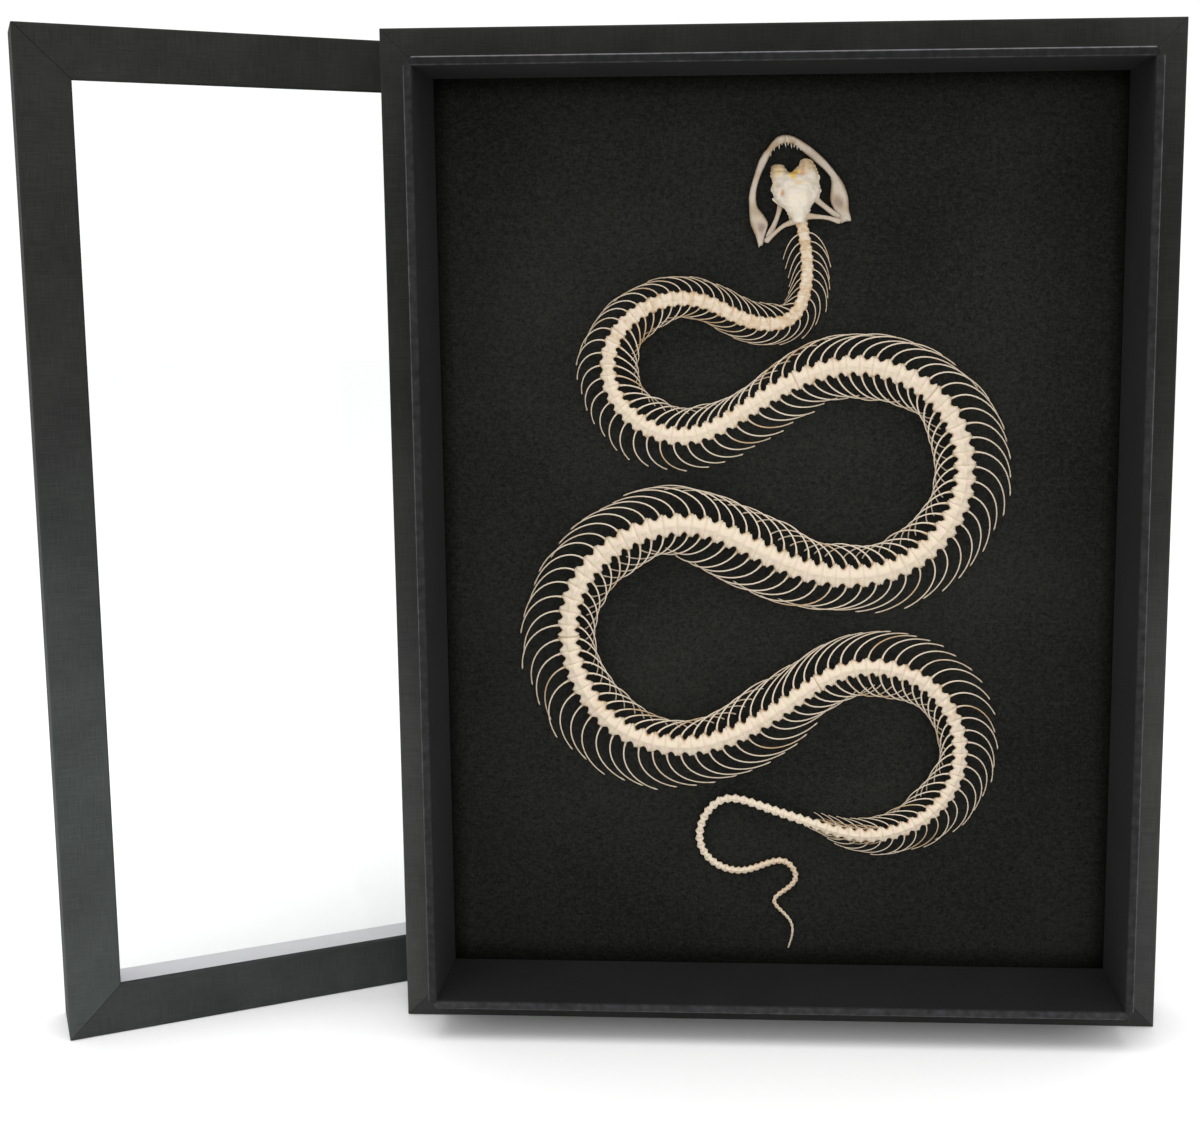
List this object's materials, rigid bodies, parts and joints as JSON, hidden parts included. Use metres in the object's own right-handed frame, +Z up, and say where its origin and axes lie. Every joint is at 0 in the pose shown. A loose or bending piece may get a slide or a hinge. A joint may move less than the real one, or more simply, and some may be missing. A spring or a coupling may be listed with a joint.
{
  "type": "snake skeleton in a display box",
  "caption": "Articulated snake skeleton in S-bends on black felt in an upright cloth-covered box, with the box's loose windowed lid standing behind it.",
  "frame": {"origin": "centre of the box's underside, halfway through the depth of its outer walls", "axes": "+Z up, +X to the viewer's right along the box's width, -Y towards the viewer, who sees the snake's back"},
  "size_m": [0.4517, 0.1641, 0.4],
  "materials": {
    "box_cloth": "matt black book cloth over board",
    "neck_board_cloth": "matt black cloth over thin board, rubbed paler along the rim",
    "lid_cloth": "matt black book cloth over board, mitred at the corners, pale lining inside the walls",
    "felt": "black felt",
    "pane": "clear polished pane",
    "neck_bone": "dry bone, tan to orange from old oils",
    "body_bone": "dry bone, ivory with tan edges",
    "tail_bone": "dry bone, ivory turning tan at the tip",
    "skull_bone": "dry bone, cream white with amber stains",
    "jaw_bone": "dry bone, smooth beige"
  },
  "bodies": {
    "root": {"box_wall_bottom": "box_cloth", "box_wall_top": "box_cloth", "box_wall_left": "box_cloth", "box_wall_right": "box_cloth", "box_neck_bottom": "neck_board_cloth", "box_neck_top": "neck_board_cloth", "box_neck_left": "neck_board_cloth", "box_neck_right": "neck_board_cloth", "box_back": "box_cloth", "felt": "felt", "lid_rail_bottom": "lid_cloth", "lid_rail_top": "lid_cloth", "lid_rail_left": "lid_cloth", "lid_rail_right": "lid_cloth", "lid_pane": "pane", "neck_left": "neck_bone", "neck_right": "neck_bone", "trunk_1_left": "body_bone", "trunk_1_right": "body_bone", "trunk_2_left": "body_bone", "trunk_2_right": "body_bone", "trunk_3_left": "body_bone", "trunk_3_right": "body_bone", "trunk_4_left": "body_bone", "trunk_4_right": "body_bone", "trunk_5_left": "body_bone", "trunk_5_right": "body_bone", "trunk_6_left": "body_bone", "trunk_6_right": "body_bone", "trunk_7_left": "body_bone", "trunk_7_right": "body_bone", "trunk_8_left": "body_bone", "trunk_8_right": "body_bone", "trunk_9_left": "body_bone", "trunk_9_right": "body_bone", "tail_1": "tail_bone", "tail_2": "tail_bone", "tail_3": "tail_bone", "cranium": "skull_bone", "prefrontal_left": "skull_bone", "prefrontal_right": "skull_bone", "mandible_left": "jaw_bone", "mandible_right": "jaw_bone", "quadrate_left": "jaw_bone", "quadrate_right": "jaw_bone", "pterygoid_left": "jaw_bone", "pterygoid_right": "jaw_bone"}
  },
  "joints": []
}
